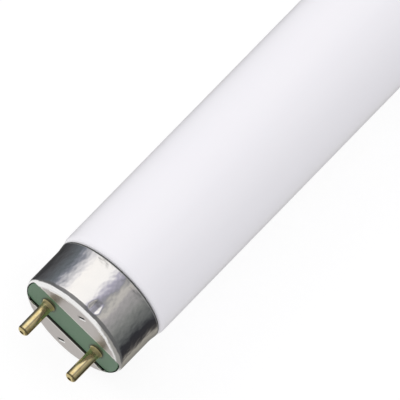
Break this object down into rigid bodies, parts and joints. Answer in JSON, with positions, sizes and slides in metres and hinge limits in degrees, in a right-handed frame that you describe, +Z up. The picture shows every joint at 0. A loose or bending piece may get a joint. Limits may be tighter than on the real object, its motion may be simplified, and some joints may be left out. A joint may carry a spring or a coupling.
{
  "type": "fluorescent blacklight tube",
  "caption": "Straight sealed fluorescent blacklight tube: white glass with a drawn metal bi-pin cap, green insulator and brass pins on each end.",
  "frame": {"origin": "the middle of the lamp, on its axis, half way between the two caps' end faces", "axes": "+X along the lamp's axis, from the left cap to the right one; each cap's two pins stand side by side along Y; +Z up"},
  "size_m": [0.6038, 0.0254, 0.0254],
  "materials": {
    "glass": "smooth glass over an opaque white coating",
    "cap_metal": "drawn aluminium, bright on the skirt and duller on the end face",
    "insulation": "grey-green moulded phenolic, slightly mottled",
    "pin_metal": "bright drawn brass with fine lengthwise lines",
    "lead_metal": "plated wire",
    "cement": "baked basing cement, dull and grainy"
  },
  "bodies": {
    "root": {"glass_tube": "glass", "basing_cement": "cement", "left_cap_shell": "cap_metal", "left_insulator": "insulation", "left_pin_front": "pin_metal", "left_pin_rear": "pin_metal", "left_lead_front": "lead_metal", "left_lead_rear": "lead_metal", "right_cap_shell": "cap_metal", "right_insulator": "insulation", "right_pin_front": "pin_metal", "right_pin_rear": "pin_metal", "right_lead_front": "lead_metal", "right_lead_rear": "lead_metal"}
  },
  "joints": []
}
